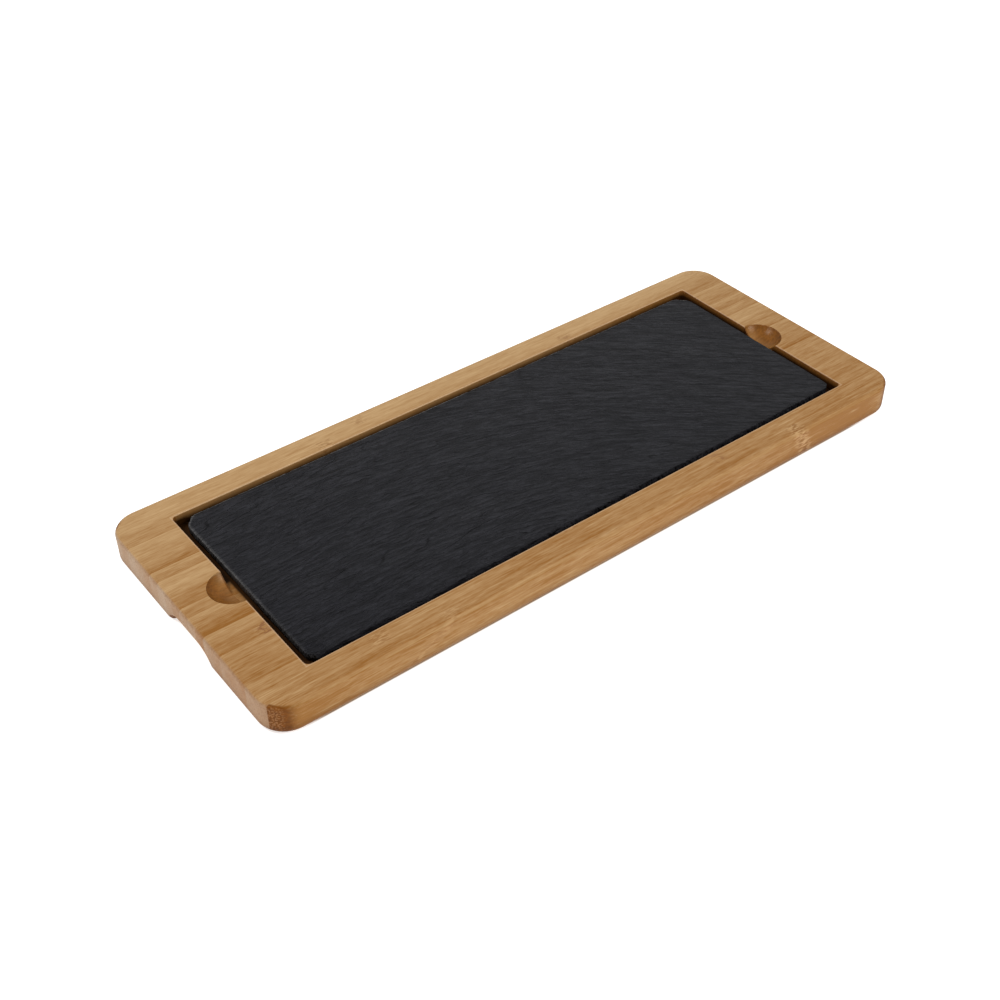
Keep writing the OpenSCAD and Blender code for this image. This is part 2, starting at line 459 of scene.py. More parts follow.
def planed_color(nodes, strip, look):
    """Colour of the planed faces: the strip's own tone, with streaks, fibres and veins."""
    tree = nodes.tree
    length, thick = look.fibre_length, look.fibre_width

    # Tone: darkest along the strip's front side, and darker near the ends of the long sides
    tone = calc(tree, "ADD", nodes.lean, STRIP_SHADE[strip - 1])
    tone = calc(tree, "MULTIPLY_ADD", ease(tree, nodes.across, 0.22, 0.02),
                0.02 + 0.12 * STRIP_LEAN[strip - 1], tone)
    tone = vary(tree, tone, nodes.slow, 0.50)
    left = calc(tree, "MULTIPLY",
                ease(tree, nodes.x, -BOARD_X + 38 * MM, -BOARD_X + 13 * MM), 0.22)
    right = calc(tree, "MULTIPLY", ease(tree, nodes.x, 0.4 * BOARD_X, 0.75 * BOARD_X),
                 ease(tree, nodes.x, BOARD_X - 10 * MM, BOARD_X - 30 * MM, 0.3, 1.0))
    ends = calc(tree, "MULTIPLY_ADD", right, 0.38, left)
    tone = calc(tree, "MULTIPLY_ADD", ends, nodes.flank, tone)

    # Grain: streaks, fibres, growth layers, short flecks and veins
    streak = nodes.noise(2.2 * length, 2.6 * thick, 3.2 * thick, 3.0, 0.6)
    layer = nodes.noise(60 * MM, 2.6 * MM, 2.6 * MM, 1.0)
    short = nodes.noise(4.2 * MM, 1.2 * MM, 1.2 * MM, 2.0, 0.6)
    flowing = 0.16
    if strip in FRONT_RAIL:
        flowing = calc(tree, "MULTIPLY_ADD", nodes.flank, -0.26, 0.56)
    grain = vary(tree, 0.0, streak, 0.66)
    grain = vary(tree, grain, nodes.fibre, 0.72)
    grain = vary(tree, grain, layer, flowing)
    grain = vary(tree, grain, short, 0.34)
    grain = calc(tree, "MULTIPLY_ADD", nodes.vein, 0.12, grain)
    if strip in FRONT_RAIL:
        line = cloud(tree, stretched(tree, nodes.point, 85 * MM, 1.9 * MM, 1.9 * MM,
                                     nodes.shift[::-1]), 1.0)
        line = calc(tree, "ABSOLUTE", calc(tree, "SUBTRACT", line, 0.52))
        grain = calc(tree, "MULTIPLY_ADD", ease(tree, line, 0.030, 0.004), -0.22, grain)
    tone = calc(tree, "ADD", grain, tone)
    color = blend(tree, calc(tree, "MINIMUM", tone, 0.93, clamp=True), look.pale, look.dark)

    # The long sides are a little greyer than the top, partly as the stem's radial face is and
    # partly as painted shade
    return blend(tree, nodes.flank, color, SIDE_GREY_AND_SHADE, "MULTIPLY")


def with_knuckles(nodes, strip, color, look):
    """Adds the strip's knuckles: bands of dense, twisted wood with pale and dark dashes."""
    tree = nodes.tree
    twist = nodes.noise(6 * MM, 3 * MM, 3 * MM)
    dash = nodes.noise(4 * MM, 0.8 * MM, 0.8 * MM, 2.0, 0.6)
    fleck = nodes.noise(2.6 * MM, 1.7 * MM, 1.7 * MM, 2.0, 0.6)
    band = redness = 0.0
    for knuckle, slant, half, strength, red in knuckle_places(strip):
        # A slanting band is at its stated place at two thirds of the board's height
        off = calc(tree, "SUBTRACT", nodes.x, (knuckle - 12 * slant) * MM)
        off = calc(tree, "MULTIPLY_ADD", nodes.z, -slant, off)
        off = vary(tree, off, twist, 6 * MM)
        near = ease(tree, calc(tree, "ABSOLUTE", off), half * MM, 1 * MM)
        band = calc(tree, "MULTIPLY_ADD", near, strength, band)
        redness = calc(tree, "MULTIPLY_ADD", near, red, redness)
    dashed = blend(tree, ease(tree, dash, 0.42, 0.58), look.knuckle, toned(look.pale, 1.15))
    speckled = blend(tree, ease(tree, fleck, 0.47, 0.58), color, look.speckle)
    return blend(tree, band, color, blend(tree, redness, dashed, speckled))


def with_end_grain(nodes, strip, color, look):
    """Adds the end grain. Returns the colour, how far a face is end grain, and where the
    ends of the fibre bundles show."""
    tree = nodes.tree

    # Dark where a cutter crossed the fibres, with the bundles as pale dots where it
    # crossed them squarely
    dot = ease(tree, nodes.dots(1.5 * MM, 0.85 * MM, 0.85 * MM), 0.62, 0.28)
    square = calc(tree, "SUBTRACT", ease(tree, nodes.slope, 0.42, 0.66), nodes.inside, clamp=True)
    bundles = calc(tree, "MULTIPLY", dot, square)
    open_grain = blend(tree, ease(tree, nodes.mottle, 0.30, 0.70),
                       toned(look.cut_end, 0.75), toned(look.cut_end, 1.25))
    open_grain = blend(tree, bundles, open_grain, look.bundle_end)

    # The two flat ends are sanded fine and paler, partly as a painted sheen, and the strips still
    # differ there
    flat = calc(tree, "MULTIPLY", ease(tree, nodes.slope, 0.845, 0.890),
                ease(tree, nodes.reach, BOARD_X - 10 * MM, BOARD_X - 6 * MM))
    deep = tuple(share * part for share, part in zip(DARK_END_TINT, look.sanded_end_and_sheen))
    ripe = calc(tree, "MULTIPLY_ADD", nodes.slow, 0.9, 1.8 * STRIP_SHADE[strip - 1] - 0.90)
    ripe = calc(tree, "MULTIPLY_ADD", nodes.lean, 0.9, ripe, clamp=True)
    sanded_and_sheen = blend(tree, ripe, look.sanded_end_and_sheen, deep)
    sanded_and_sheen = blend(tree, calc(tree, "MULTIPLY", dot, 0.24), sanded_and_sheen, look.cut_end)
    end_color = blend(tree, flat, open_grain, sanded_and_sheen)

    # The rounded upper edge of each end is sanded with the top, so it isn't as dark, but
    # not at the corners
    rounded = product(
        tree, ease(tree, nodes.reach, BOARD_X - 6.5 * MM, BOARD_X - 3.5 * MM),
        ease(tree, nodes.upright, 0.02, 0.12),
        ease(tree, nodes.wide, BOARD_Y - 7.2 * MM, BOARD_Y - 8.1 * MM))
    end_color = blend(tree, rounded, end_color, sanded_and_sheen)
    crossed = ease(tree, nodes.slope, 0.08, 0.50)
    late = ease(tree, nodes.slope, 0.40, 0.88)
    crossed = calc(tree, "MULTIPLY_ADD", calc(tree, "SUBTRACT", late, crossed), rounded, crossed)
    return blend(tree, crossed, color, end_color), crossed, bundles


def with_edge_highlight_and_shade(nodes, color, look):
    """Pales the long upper edges as a painted highlight, and darkens the lower ones as painted
    shade.
    """
    tree = nodes.tree
    # Painted highlight along the long upper edges
    edge_highlight = product(
        tree, ease(tree, nodes.upright, 0.20, 0.50), ease(tree, nodes.upright, 0.99, 0.84),
        ease(tree, nodes.wide, BOARD_Y - 10 * MM, BOARD_Y - 3 * MM),
        ease(tree, nodes.reach, BOARD_X - 13 * MM, BOARD_X - 18 * MM))
    color = blend(tree, calc(tree, "MULTIPLY", edge_highlight, 0.25), color, look.pale)
    # Painted shade along the lower edges near the outside
    outer = calc(tree, "MAXIMUM", ease(tree, nodes.reach, BOARD_X - 20 * MM, BOARD_X - 10 * MM),
                 ease(tree, nodes.wide, BOARD_Y - 10 * MM, BOARD_Y - 4 * MM))
    lower_shade = calc(tree, "MULTIPLY", ease(tree, nodes.z, 7.5 * MM, 3 * MM), outer)
    return blend(tree, lower_shade, color, LOWER_EDGE_SHADE, "MULTIPLY")


def with_milled_recess_and_shade(nodes, color, look):
    """Darkens the recess and its scoops, partly as the cutter burnished them and partly as painted
    shade of the recess, and most of all a scoop's rim, as painted shade, and its bottom."""
    tree = nodes.tree
    burnished_and_shade = blend(tree, ease(tree, nodes.mottle, 0.20, 0.80),
                      toned(look.burnished_and_shade, 0.75), toned(look.burnished_and_shade, 1.22))
    burnished_and_shade = blend(tree, 0.25, burnished_and_shade, color)
    color = blend(tree, calc(tree, "MULTIPLY", nodes.inside, look.milled_and_shade), color, burnished_and_shade)
    rim_shade = calc(tree, "MULTIPLY", nodes.scoop, ease(tree, nodes.z, TOP - 3 * MM, TOP - 0.4 * MM))
    color = blend(tree, rim_shade, color, SCOOP_RIM_SHADE, "MULTIPLY")
    bottom = calc(tree, "MULTIPLY", nodes.scoop,
                  ease(tree, nodes.z, TOP - 4.2 * MM, TOP - 6.2 * MM))
    return blend(tree, bottom, color, SCOOP_BOTTOM_TINT, "MULTIPLY")


def with_gap_shade(nodes, color, look):
    """Darkens the narrow gap round the slate with painted shade."""
    tree = nodes.tree

    # Distance towards the back from the middle of the nearest scoop
    past = calc(tree, "MULTIPLY_ADD", calc(tree, "SIGN", nodes.x), SCOOP_SHIFT, nodes.y)

    # More painted shade further down and at the two ends, but little beside the scoops, where
    # light comes in through them
    border = calc(tree, "MAXIMUM",
                  ease(tree, nodes.reach, RECESS_X - 14 * MM, RECESS_X - 6 * MM, 0.0, 1.35),
                  ease(tree, nodes.wide, RECESS_Y - 14.25 * MM, RECESS_Y - 6.25 * MM))
    beside = calc(tree, "MAXIMUM", ease(tree, calc(tree, "ABSOLUTE", past), 8.5 * MM, 12.5 * MM),
                  ease(tree, nodes.reach, RECESS_X - 2.2 * MM, RECESS_X - 3.5 * MM, 0.0, 0.75))
    gap_shade = product(
        tree, nodes.inside, ease(tree, nodes.reach, RECESS_X + 0.3 * MM, RECESS_X + 0.1 * MM),
        beside, border, ease(tree, nodes.z, TOP - 0.4 * MM, TOP - 5.5 * MM))
    color = blend(tree, calc(tree, "MINIMUM", gap_shade, 0.97), color, look.gap_shade)

    # A dark line of painted shade lies in the angle between a scoop and the end of the recess
    angle_shade = calc(tree, "ABSOLUTE", calc(tree, "SUBTRACT", nodes.reach, RECESS_X + 0.2 * MM))
    angle_shade = product(tree, ease(tree, angle_shade, 0.8 * MM, 0.2 * MM), nodes.inside,
                    ease(tree, past, 1 * MM, 3.5 * MM), ease(tree, past, 12.8 * MM, 11.8 * MM))
    return blend(tree, angle_shade, color, SCOOP_ANGLE_SHADE, "MULTIPLY")


def with_rim_highlight(nodes, color, look):
    """Pales a narrow line along the rim of the recess, apart from the scoops, as a painted
    highlight.
    """
    tree = nodes.tree
    beyond = calc(tree, "MAXIMUM", calc(tree, "SUBTRACT", nodes.reach, RECESS_X),
                  calc(tree, "SUBTRACT", nodes.wide, RECESS_Y))
    line = product(
        tree, ease(tree, beyond, 1 * MM, 0.5 * MM), ease(tree, beyond, 0.0, 0.2 * MM),
        ease(tree, nodes.z, TOP - 0.8 * MM, TOP - 0.3 * MM),
        calc(tree, "SUBTRACT", 1.0, nodes.scoop))
    return blend(tree, calc(tree, "MULTIPLY", line, 0.45), color, look.highlighted)


def bamboo_finish(strip, front, width, look):
    """Oiled bamboo of one strip, whose front side is at the Y that front gives."""
    material, tree, shader = new_finish("bamboo_strip_%02d" % strip)
    nodes = StripNodes(tree, strip, front, width, look)
    color = planed_color(nodes, strip, look)
    color = with_knuckles(nodes, strip, color, look)
    color, crossed, bundles = with_end_grain(nodes, strip, color, look)
    color = with_edge_highlight_and_shade(nodes, color, look)
    color = with_milled_recess_and_shade(nodes, color, look)
    color = with_gap_shade(nodes, color, look)
    color = with_rim_highlight(nodes, color, look)

    # End grain is rougher, and the scoops are polished by fingers
    rough = calc(tree, "MULTIPLY_ADD", nodes.fibre, 0.16, look.roughness - 0.08)
    rough = calc(tree, "MULTIPLY_ADD", crossed, 0.14, rough)
    smoother = calc(tree, "SUBTRACT", look.polish, rough)
    rough = calc(tree, "MULTIPLY_ADD", nodes.scoop, smoother, rough)
    height = calc(tree, "MULTIPLY_ADD", nodes.fibre, 0.6, calc(tree, "MULTIPLY", nodes.vein, -0.5))
    height = calc(tree, "MULTIPLY_ADD", bundles, -0.8, height)

    feed(tree, shader.inputs["Base Color"], color)
    feed(tree, shader.inputs["Roughness"], rough)
    feed(tree, shader.inputs["Normal"], raise_surface(tree, height, 0.06 * MM))
    shader.inputs["IOR"].default_value = 1.45
    shader.inputs["Specular IOR Level"].default_value = 0.20
    shader.inputs["Specular Tint"].default_value = (1.0, 0.80, 0.64, 1)
    return material


class BOARD_OT_finish_bamboo(bpy.types.Operator):
    """Gives each bamboo strip its own oiled finish"""
    bl_idname = "board.finish_bamboo"
    bl_label = "Finish Bamboo"

    def execute(self, context):
        look = context.scene.board_bamboo
        # All strips but the last one are as wide as the first
        low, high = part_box(STRIPS[0])
        width = high[1] - low[1]
        for strip, name in enumerate(STRIPS, start=1):
            front = low[1] + (strip - 1) * width
            dress(bpy.data.objects[name], bamboo_finish(strip, front, width, look))
        return {"FINISHED"}


# Slate


# Length broken off each corner of the slab, in mm, by the side that it is on along X and Y
CORNER_CLIPS = {(1, 1): 6.5, (1, -1): 3.0, (-1, 1): 5.5, (-1, -1): 4.5}

# Place along X in mm where the ripples start to swing round, the length that this takes,
# and how far they lean after it
SWING_START, SWING_LENGTH, SWING_LEAN = 20, 42, 0.9

# How far below the face the rings of the broken side lie, in mm, and how much of the
# edge's wander each of them has. A last ring lies near the underside and has all of it.
RING_DROPS = (0.7, 1.7, 2.9)
RING_WANDER = (0.35, 0.55, 0.75, 1.0)

# Height of the last ring above the lowest point of the slab, in mm
FOOT = 0.35


def flow(x, y):
    """Distance across the ripples, in mm: they run along the slab and swing round
    towards its front on the right half."""
    swing = math.log1p(math.exp((x - SWING_START) / SWING_LENGTH))
    return y + SWING_LEAN * SWING_LENGTH * swing


def soft_step(value, start, end):
    """Share from 0 to 1 while value goes from start to end."""
    share = min(1.0, max(0.0, (value - start) / (end - start)))
    return share * share * (3 - 2 * share)


def riven(x, y, seed=0.0):
    """Depth of the riven face at a point in mm, as a share of the whole relief."""
    across = flow(x, y)
    broad = noise.noise(Vector((x / 85, across / 30, seed + 3.1)))
    layers = 3.2 * noise.noise(Vector((x / 70, across / 19, seed + 7.7)))
    floor = math.floor(layers)
    ledge = (floor + soft_step(layers - floor, 0.30, 0.62)) / 3.2
    ripple = noise.noise(Vector((x / 24, across / 3.4, seed + 11.3)))
    comb = noise.noise(Vector((x / 13, across / 1.7, seed + 17.9)))
    return 0.42 + 0.26 * broad + 0.26 * ledge + 0.20 * ripple + 0.10 * comb


class Outline:
    """Edges of the slab seen from above: a rectangle whose corners are broken off, in mm."""

    def __init__(self, half_x, half_y):
        self.sides = [(Vector((1, 0)), half_x), (Vector((-1, 0)), half_x),
                      (Vector((0, 1)), half_y), (Vector((0, -1)), half_y)]
        self.breaks = []
        for (sx, sy), clip in CORNER_CLIPS.items():
            corner = Vector((sx * half_x, sy * half_y))
            # One straight break, and one at each end of it that takes its point off
            for lean, depth in ((45, clip * math.sqrt(0.5)), (20, 0.42 * clip), (70, 0.42 * clip)):
                turn = math.radians(lean)
                normal = Vector((sx * math.cos(turn), sy * math.sin(turn)))
                self.breaks.append((normal, normal.dot(corner) - depth))
        self.sides += self.breaks

    def inward(self, x, y):
        """Distance to the nearest edge, and the direction away from the edges near by."""
        point = Vector((x, y))
        gaps = [(reach - normal.dot(point), normal) for normal, reach in self.sides]
        nearest = min(gap for gap, _ in gaps)
        away = Vector((0, 0))
        for gap, normal in gaps:
            away -= normal * max(0.0, 1 - (gap - nearest) / 1.5)
        return nearest, away.normalized()


def edge_wander(x, y, level):
    """How far a broken edge lies inside the full outline, as a share."""
    wave = noise.noise(Vector((x / 13, y / 13, 41.0)))
    nick = noise.noise(Vector((x / 3.6, y / 3.6, 47.0 + level)))
    return min(1.0, max(0.0, 0.42 + 0.62 * wave + 0.34 * nick))


def raggedness(away):
    """How much of the wander an edge has: the left edge is the least straight."""
    return (1 - 0.9 * min(1.0, max(0.0, -away.x - away.y))) * (1 - 0.7 * max(0.0, away.y))


def trim(away):
    """How far inside the plain solid's outline an edge is broken, in mm: only the left
    and the front edges are."""
    return 0.4 * max(0.0, away.x) + 0.65 * max(0.0, away.y)


def chip_width(x, y):
    """Width of the chips along the upper edge, as a share: mostly a hairline, with
    larger flakes here and there."""
    flake = noise.noise(Vector((x / 5.5, y / 5.5, 61.0)))
    hair = noise.noise(Vector((x / 1.6, y / 1.6, 67.0)))
    return 0.16 + 0.10 * hair + 0.9 * max(0.0, flake - 0.22)


def cut_upper_face(bm, outline, half_x, half_y, cell):
    """Starts the slab with its upper face: a fine grid with its corners clipped off."""
    bmesh.ops.create_grid(
        bm, x_segments=round(2 * half_x / cell), y_segments=round(2 * half_y / (0.65 * cell)),
        size=1, matrix=Matrix.Diagonal((half_x, half_y, 1, 1)))
    for normal, distance in outline.breaks:
        bmesh.ops.bisect_plane(
            bm, geom=bm.verts[:] + bm.edges[:] + bm.faces[:], dist=1e-4,
            plane_co=(distance * normal).to_3d(), plane_no=normal.to_3d(), clear_outer=True)


def pull_down_side(bm, outline, wander, top, bottom):
    """Adds the broken side: rings pulled down from the border of the upper face. Returns
    the points of the rings."""
    fresh = bm.verts.layers.float["fresh_break_and_edge_light"]
    bedding = bm.verts.layers.float_vector["bedding"]
    drops = RING_DROPS + (top - bottom - FOOT,)
    border = [edge for edge in bm.edges if edge.is_boundary]
    rings = []
    for _ in drops:
        pulled = bmesh.ops.extrude_edge_only(bm, edges=border)["geom"]
        border = [item for item in pulled if isinstance(item, bmesh.types.BMEdge)
                  and item.is_boundary]
        rings.append({vert for edge in border for vert in edge.verts})

    for level, (ring, drop) in enumerate(zip(rings, drops)):
        last = ring is rings[-1]
        for vert in ring:
            x, y = vert.co.x, vert.co.y
            _, away = outline.inward(x, y)
            inset = wander * raggedness(away) * edge_wander(x, y, level * 3.0)
            inset = inset * RING_WANDER[level] + trim(away)
            sag = 0.25 * noise.noise(Vector((x / 4, y / 4, 80.0 + level)))
            depth = drop if last else drop + sag
            vert.co = Vector((x + inset * away.x, y + inset * away.y, top - depth))
            vert[fresh] = 0.04 if last else 0.0
            vert[bedding] = (x, flow(x, y), vert.co.z)
    return set().union(*rings)


def freshness_and_edge_light(gap, away, y, broken):
    """How pale the slate looks at a point of the upper face: the breaks are pale along the back
    edge, as fresh slate is and as a painted highlight, and dark along the others, as painted
    shade. A pale line along the left edge is a painted highlight."""
    pale = 1.0 if away.y < -0.5 else 0.0
    if away.x > 0.5:
        pale = 0.02 + 0.11 * soft_step(y, -30, 20)
    shown = pale * soft_step(broken, 0.02, 0.5)
    if away.x > 0.3:
        highlighted = 0.12 + 0.30 * soft_step(y, -45, 10)
        shown = max(shown, highlighted * soft_step(gap, 1.4, 0.5))
    return shown


def rive_upper_face(bm, outline, verts, shape, top, flake):
    """Lowers the points of the upper face into ripples, ledges and chipped edges, with
    one flake off around the place that flake gives."""
    fresh = bm.verts.layers.float["fresh_break_and_edge_light"]
    bedding = bm.verts.layers.float_vector["bedding"]
    relief, wander, chip = shape.relief / MM, shape.edge_wander / MM, shape.chip / MM
    for vert in verts:
        x, y = vert.co.x, vert.co.y
        gap, away = outline.inward(x, y)
        pull = wander * raggedness(away) * edge_wander(x, y, 0.0) + trim(away)
        pull *= max(0.0, 1 - gap / 4) ** 2
        # The right and the front edges have the smallest chips
        straight = 0.25 if away.x < -0.5 else 0.15 if away.y > 0.5 else 1.0
        width = chip * chip_width(x, y) * straight
        broken = max(0.0, 1 - gap / max(width, 0.05))
        depth = relief * min(1.0, max(0.0, riven(x, y)))
        depth += 0.75 * width * broken ** 1.3
        depth += 0.9 * soft_step(math.hypot(x - flake[0], y - flake[1]), 6.5, 4.5)
        vert[fresh] = freshness_and_edge_light(gap, away, y, broken)
        vert[bedding] = (x, flow(x, y), top - depth)
        vert.co = Vector((x + pull * away.x, y + pull * away.y, top - depth))


def close_underside(bm, half_x, half_y, bottom):
    """Adds the underside, a coarser riven face that is flat at the pads, and joins it to
    the last ring of the side."""
    bedding = bm.verts.layers.float_vector["bedding"]
    clip = max(CORNER_CLIPS.values())
    under = bmesh.ops.create_grid(
        bm, x_segments=112, y_segments=40, size=1,
        matrix=Matrix.Translation((0, 0, bottom))
        @ Matrix.Diagonal((half_x - clip, half_y - clip, 1, 1)))["verts"]
    pads = [((low[0] + high[0]) / 2 / MM, (low[1] + high[1]) / 2 / MM)
            for low, high in (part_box(name) for name in PADS)]
    for vert in under:
        x, y = vert.co.x, vert.co.y
        clear = min(math.hypot(x - pad_x, y - pad_y) for pad_x, pad_y in pads)
        vert.co.z += 0.30 * soft_step(clear, 6.5, 11.0) * min(1.0, max(0.0, riven(x, y, 30.0)))
        vert[bedding] = (x, flow(x, y), vert.co.z)
    bmesh.ops.triangle_fill(bm, use_beauty=True, use_dissolve=False,
                            edges=[edge for edge in bm.edges if edge.is_boundary])


def model_slate(shape):
    """Mesh of the riven slab, which is shaped in mm around the middle of its plain solid."""
    low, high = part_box("slate_slab")
    half_x, half_y = (high[0] - low[0]) / 2 / MM, (high[1] - low[1]) / 2 / MM
    middle = Vector(((high[0] + low[0]) / 2, (high[1] + low[1]) / 2, 0))
    top, bottom = high[2] / MM, low[2] / MM
    outline = Outline(half_x, half_y)

    bm = bmesh.new()
    cut_upper_face(bm, outline, half_x, half_y, shape.cell / MM)
    bm.verts.layers.float.new("fresh_break_and_edge_light")
    bm.verts.layers.float_vector.new("bedding")
    ringed = pull_down_side(bm, outline, shape.edge_wander / MM, top, bottom)
    face = [vert for vert in bm.verts if vert not in ringed]
    rive_upper_face(bm, outline, face, shape, top, (4.0 - half_x, 3.0 - half_y))
    close_underside(bm, half_x, half_y, bottom)
    bmesh.ops.recalc_face_normals(bm, faces=bm.faces[:])
    bmesh.ops.transform(bm, matrix=Matrix.Translation(middle) @ Matrix.Scale(MM, 4),
                        verts=bm.verts[:])
    if any(not edge.is_manifold for edge in bm.edges):
        raise RuntimeError("the slate's mesh isn't closed")

    mesh = bpy.data.meshes.new("slate_riven")
    bm.to_mesh(mesh)
    bm.free()
    mesh.shade_smooth()
    return mesh


def slate_layers(tree):
    """Patterns of the riven face, which follow the bedding in small waves: ripples, fine
    cleavage lines, ledges and cracks, and large patches. The bedding's unit is a millimetre."""
    bedding = add_node(tree, "ShaderNodeAttribute", attribute_name="bedding").outputs["Vector"]
    bed = add_node(tree, "ShaderNodeSeparateXYZ", {"Vector": bedding})
    wave = cloud(tree, stretched(tree, bedding, 14, 9, 9, (5, 1, 2)))
    crinkle = cloud(tree, stretched(tree, bedding, 3.4, 2.4, 3, (8, 2, 4)))
    patch = cloud(tree, stretched(tree, bedding, 70, 26, 40, (3, 5, 7)))
    across = calc(tree, "MULTIPLY_ADD", wave, 3.0, bed.outputs["Y"])
    across = calc(tree, "MULTIPLY_ADD", crinkle, 1.1, across)
    waved = add_node(tree, "ShaderNodeCombineXYZ",
                     {"X": bed.outputs["X"], "Y": across, "Z": bed.outputs["Z"]}).outputs["Vector"]
    ripple = cloud(tree, stretched(tree, waved, 15, 1.8, 6), 2.0, 0.55)
    comb = cloud(tree, stretched(tree, waved, 5, 0.75, 3), 2.0, 0.6)

    # Ten levels of layers, with a step between each two, which is cracked in some patches
    level = cloud(tree, stretched(tree, waved, 140, 13, 20, (9, 4, 6)), 0.0)
    level = calc(tree, "MULTIPLY", level, 10.0)
    part = calc(tree, "FRACT", level)
    ledge = calc(tree, "ADD", calc(tree, "FLOOR", level), ease(tree, part, 0.46, 0.54))
    crack = ease(tree, calc(tree, "ABSOLUTE", calc(tree, "SUBTRACT", part, 0.5)), 0.06, 0.01)
    crack = calc(tree, "MULTIPLY", crack, ease(tree, patch, 0.45, 0.60))
    return ripple, comb, ledge, crack, patch


def slate_finish(shape):
    """Dark riven slate, with pale breaks along its edges."""
    material, tree, shader = new_finish("riven_slate")
    place = add_node(tree, "ShaderNodeTexCoord")
    point = place.outputs["Object"]
    spot = add_node(tree, "ShaderNodeSeparateXYZ", {"Vector": point})
    side = add_node(tree, "ShaderNodeSeparateXYZ", {"Vector": place.outputs["Normal"]})
    fresh = add_node(tree, "ShaderNodeAttribute", attribute_name="fresh_break_and_edge_light").outputs["Fac"]
    ripple, comb, ledge, crack, patch = slate_layers(tree)
    grit = cloud(tree, stretched(tree, point, 0.5 * MM, 0.5 * MM, 0.5 * MM), 2.0, 0.7)

    # The face is painted lighter towards its back right corner, as a sheen, and varies in large
    # patches;
    # the ripples' crests are painted lighter and their hollows and the cracks darker, as painted
    # light and shade
    sheen_and_patch = calc(tree, "MULTIPLY_ADD", spot.outputs["Y"], 3.0,
                calc(tree, "MULTIPLY", spot.outputs["X"], 2.1))
    sheen_and_patch = calc(tree, "MULTIPLY_ADD", calc(tree, "SUBTRACT", patch, 0.5), 0.5,
                calc(tree, "ADD", sheen_and_patch, 0.5), clamp=True)
    crest_shading = calc(tree, "MULTIPLY_ADD", ripple, 0.7, calc(tree, "MULTIPLY", comb, 0.5))
    crest_shading = ease(tree, crest_shading, 0.46, 0.74, 0.70, 1.32)
    crest_shading = calc(tree, "MULTIPLY", crest_shading, calc(tree, "MULTIPLY_ADD", crack, -0.40, 1.0))
    color = blend(tree, sheen_and_patch, shape.color, shape.painted_sheen)
    color = blend(tree, 1.0, color, crest_shading, "MULTIPLY")

    # Broken sides: layers lie flat, so they show as fine level lines. They are kept about as dark
    # as the face, as painted shade of the narrow gap.
    layer = cloud(tree, stretched(tree, point, 12 * MM, 12 * MM, 0.35 * MM), 3.0, 0.6)
    wall = ease(tree, calc(tree, "ABSOLUTE", side.outputs["Z"]), 0.75, 0.35)
    split_and_shade = blend(tree, layer, toned(shape.color, 0.4), toned(shape.color, 1.8))
    color = blend(tree, calc(tree, "MULTIPLY", wall, 0.9), color, split_and_shade)

    # The left side is dusty, and the breaks are pale, partly with painted highlight
    dusty = calc(tree, "MULTIPLY", ease(tree, side.outputs["X"], -0.3, -0.8), wall)
    color = blend(tree, calc(tree, "MULTIPLY", dusty, 0.8), color, toned(shape.fresh, 0.2))
    speck = ease(tree, grit, 0.35, 0.65, 0.45, 1.0)
    color = blend(tree, calc(tree, "MULTIPLY", fresh, speck, clamp=True), color, shape.fresh)

    rough = calc(tree, "MULTIPLY_ADD", comb, 0.14, shape.roughness - 0.07)
    height = calc(tree, "MULTIPLY_ADD", comb, 0.35, calc(tree, "MULTIPLY", grit, 0.06))
    height = calc(tree, "ADD", ripple, height)
    height = calc(tree, "MULTIPLY_ADD", ledge, 0.35, height)

    feed(tree, shader.inputs["Base Color"], color)
    feed(tree, shader.inputs["Roughness"], rough)
    feed(tree, shader.inputs["Normal"], raise_surface(tree, height, 5.8 * MM))
    shader.inputs["IOR"].default_value = 1.5
    shader.inputs["Specular IOR Level"].default_value = 0.16
    return material


class BOARD_OT_model_slate(bpy.types.Operator):
    """Models the riven slate slab with its broken edges"""
    bl_idname = "board.model_slate"
    bl_label = "Model Slate"

    def execute(self, context):
        shape = context.scene.board_slate
        slate = bpy.data.objects.new("slate_riven", model_slate(shape))
        context.scene.collection.objects.link(slate)
        dress(slate, slate_finish(shape))
        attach(slate, "slate")
        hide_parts("slate_slab")
        return {"FINISHED"}


# Pads


def foam_finish(look):
    """Closed-cell foam."""
    material, tree, shader = new_finish("pad_foam")
    point = add_node(tree, "ShaderNodeTexCoord").outputs["Object"]
    cells = spots(tree, stretched(tree, point, 0.3 * MM, 0.3 * MM, 0.3 * MM))
    patch = cloud(tree, stretched(tree, point, 2 * MM, 2 * MM, 2 * MM))
    color = blend(tree, patch, toned(look.color, 0.7), toned(look.color, 1.5))
    feed(tree, shader.inputs["Base Color"], color)
    feed(tree, shader.inputs["Roughness"], calc(tree, "MULTIPLY_ADD", cells, 0.15, 0.78))
    feed(tree, shader.inputs["Normal"], raise_surface(tree, cells, 0.08 * MM))
    shader.inputs["Specular IOR Level"].default_value = 0.25
    return material


